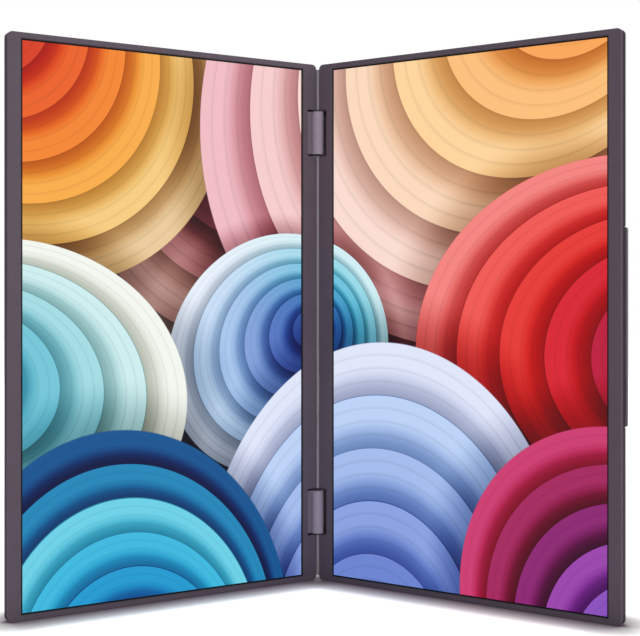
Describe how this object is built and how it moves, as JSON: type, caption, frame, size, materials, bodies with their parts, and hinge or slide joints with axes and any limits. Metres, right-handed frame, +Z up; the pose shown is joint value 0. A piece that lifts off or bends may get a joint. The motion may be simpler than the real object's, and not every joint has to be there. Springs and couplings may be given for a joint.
{
  "type": "dual portable monitor",
  "caption": "Slim twin-screen portable monitor that folds like a book on barrel hinges, with a swing-out stand and edge keys.",
  "frame": {"origin": "middle of the footprint, on the desk", "axes": "+X to the viewer's right, +Y away from the viewer, +Z up along the fold axis"},
  "size_m": [0.3729, 0.1208, 0.3541],
  "materials": {
    "back_cover": "satin",
    "bezel": "matte",
    "tape": "matte",
    "picture": "gloss",
    "display_glass": "gloss",
    "optical_film": "satin",
    "light_bar": "matte",
    "tray_metal": "satin",
    "circuit_board": "satin",
    "flex_film": "satin",
    "hinge_casting": "satin",
    "hinge_sheet": "brushed",
    "hinge_pin": "satin",
    "bush": "satin",
    "screw_steel": "satin",
    "cable_jacket": "matte",
    "port_shell": "satin",
    "switch_body": "matte",
    "key_cap": "matte",
    "stand_metal": "satin",
    "foot_rubber": "matte",
    "strip_rubber": "matte"
  },
  "bodies": {
    "right_panel": {"right_back_cover": "back_cover", "right_front_bezel": "bezel", "right_bezel_tape": "tape", "right_front_polariser": "picture", "right_colour_filter_glass": "display_glass", "right_tft_glass": "display_glass", "right_optical_films": "optical_film", "right_light_guide": "optical_film", "right_reflector_sheet": "optical_film", "right_led_bar": "light_bar", "right_lcd_tray": "tray_metal", "right_driver_board": "circuit_board", "right_driver_flexes": "flex_film", "right_rear_feet": "foot_rubber", "hinge_bracket_upper": "hinge_sheet", "hinge_bracket_lower": "hinge_sheet", "hinge_pins_upper": "hinge_pin", "hinge_pins_lower": "hinge_pin", "hinge_screws_right": "screw_steel", "link_cable_right": "flex_film", "display_ribbon": "flex_film", "main_board": "circuit_board", "main_board_screws": "screw_steel", "usb_c_port_1": "port_shell", "usb_c_port_2": "port_shell", "mini_hdmi_port": "port_shell", "key_switches": "switch_body", "kickstand_bushes": "bush"},
    "left_panel": {"left_back_cover": "back_cover", "left_front_bezel": "bezel", "left_bezel_tape": "tape", "left_front_polariser": "picture", "left_colour_filter_glass": "display_glass", "left_tft_glass": "display_glass", "left_optical_films": "optical_film", "left_light_guide": "optical_film", "left_reflector_sheet": "optical_film", "left_led_bar": "light_bar", "left_lcd_tray": "tray_metal", "left_driver_board": "circuit_board", "left_driver_flexes": "flex_film", "left_rear_feet": "foot_rubber", "hinge_knuckle_upper": "hinge_casting", "hinge_knuckle_lower": "hinge_casting", "hinge_bushes_upper": "bush", "hinge_bushes_lower": "bush", "hinge_screws_left": "screw_steel", "link_cable_left": "cable_jacket", "fold_strip": "strip_rubber"},
    "kickstand": {"kickstand_plate": "stand_metal", "kickstand_foot": "foot_rubber", "kickstand_pins": "hinge_pin"},
    "power_button": {"power_key": "key_cap"},
    "menu_up_button": {"menu_up_key": "key_cap"},
    "menu_down_button": {"menu_down_key": "key_cap"}
  },
  "joints": [
    {"name": "fold", "type": "hinge", "parent": "right_panel", "child": "left_panel", "pos_m": [-0.00081, 0.05422, 0], "axis": [0, 0, 1], "range_deg": [-64.6, 115.2]},
    {"name": "kickstand_swing", "type": "hinge", "parent": "right_panel", "child": "kickstand", "pos_m": [0.10558, -0.00488, 0.1768], "axis": [0, 0, 1], "range_deg": [0, 80]},
    {"name": "power_press", "type": "slide", "parent": "right_panel", "child": "power_button", "axis": [0, 0, -1], "range_m": [0, 0.0004], "stiffness_N_per_m": 2500},
    {"name": "menu_up_press", "type": "slide", "parent": "right_panel", "child": "menu_up_button", "axis": [0, 0, -1], "range_m": [0, 0.0004], "stiffness_N_per_m": 2500},
    {"name": "menu_down_press", "type": "slide", "parent": "right_panel", "child": "menu_down_button", "axis": [0, 0, -1], "range_m": [0, 0.0004], "stiffness_N_per_m": 2500}
  ]
}
